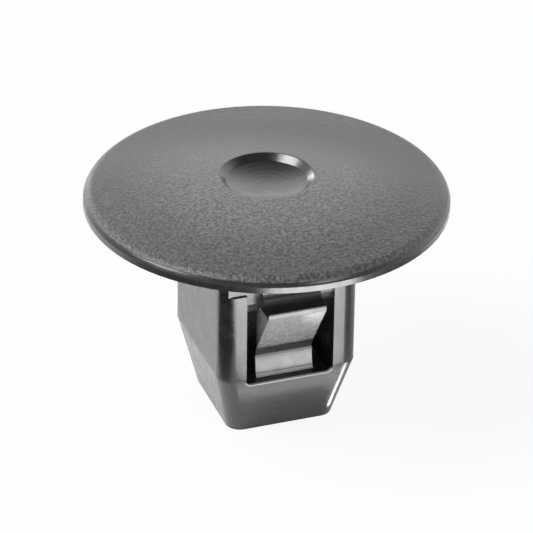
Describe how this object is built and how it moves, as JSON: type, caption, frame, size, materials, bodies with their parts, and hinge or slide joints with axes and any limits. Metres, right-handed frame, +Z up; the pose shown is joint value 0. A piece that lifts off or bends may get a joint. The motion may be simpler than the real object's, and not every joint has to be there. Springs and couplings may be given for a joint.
{
  "type": "grommet nut clip",
  "caption": "Push-in plastic grommet nut with a round domed head and a square snap-in shank that takes a self-tapping screw.",
  "frame": {"origin": "centre of the shank's flat lower end", "axes": "+Z up along the shank towards the head; the windowed faces with the snap tabs face -Y and +Y"},
  "size_m": [0.02, 0.02, 0.014],
  "materials": {
    "black_nylon": "fine-grained matte on the head, smoother on the shank"
  },
  "bodies": {
    "root": {"clip_body": "black_nylon"}
  },
  "joints": []
}
